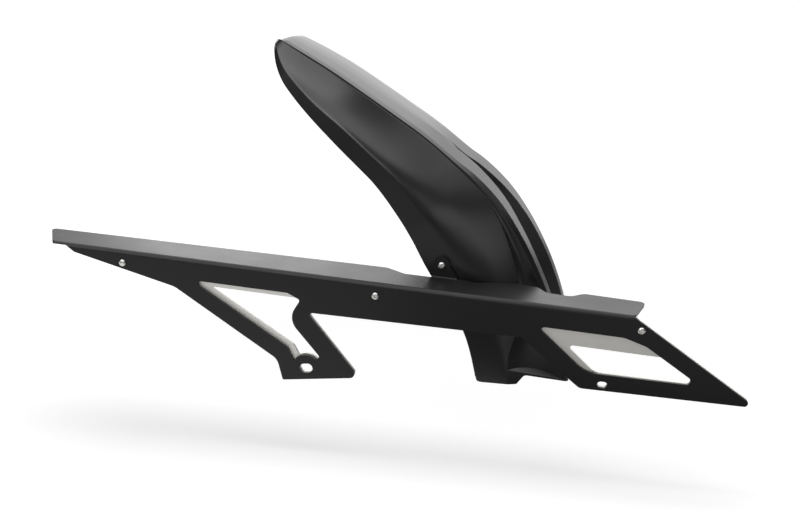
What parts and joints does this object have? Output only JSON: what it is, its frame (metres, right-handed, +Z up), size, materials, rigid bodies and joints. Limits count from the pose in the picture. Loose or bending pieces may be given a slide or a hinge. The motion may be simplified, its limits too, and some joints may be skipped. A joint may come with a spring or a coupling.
{
  "type": "rear hugger mudguard",
  "caption": "Moulded rear-wheel hugger with ridged crown and scoops, screwed to the ear of a folded sheet chain guard with windows, a backing plate and slots for the swingarm.",
  "frame": {"origin": "middle of the rear swingarm slot, on the backing plate's face that seats on the swingarm", "axes": "+X towards the bike's front, +Y across the bike from the chain side to the wheel, +Z up"},
  "size_m": [0.72, 0.2063, 0.3394],
  "materials": {
    "powder_coat": "fine satin black powder coat on aluminium sheet",
    "blasted_aluminium": "bead-blasted, clear anodised",
    "moulded_shell": "satin black moulding",
    "stainless_steel": "turned stainless steel"
  },
  "bodies": {
    "root": {"chain_guard": "powder_coat", "backing_plate": "blasted_aluminium", "hugger_shell": "moulded_shell", "guard_screws": "stainless_steel", "guard_nuts": "stainless_steel", "hugger_screw": "stainless_steel", "hugger_nut": "stainless_steel"}
  },
  "joints": []
}
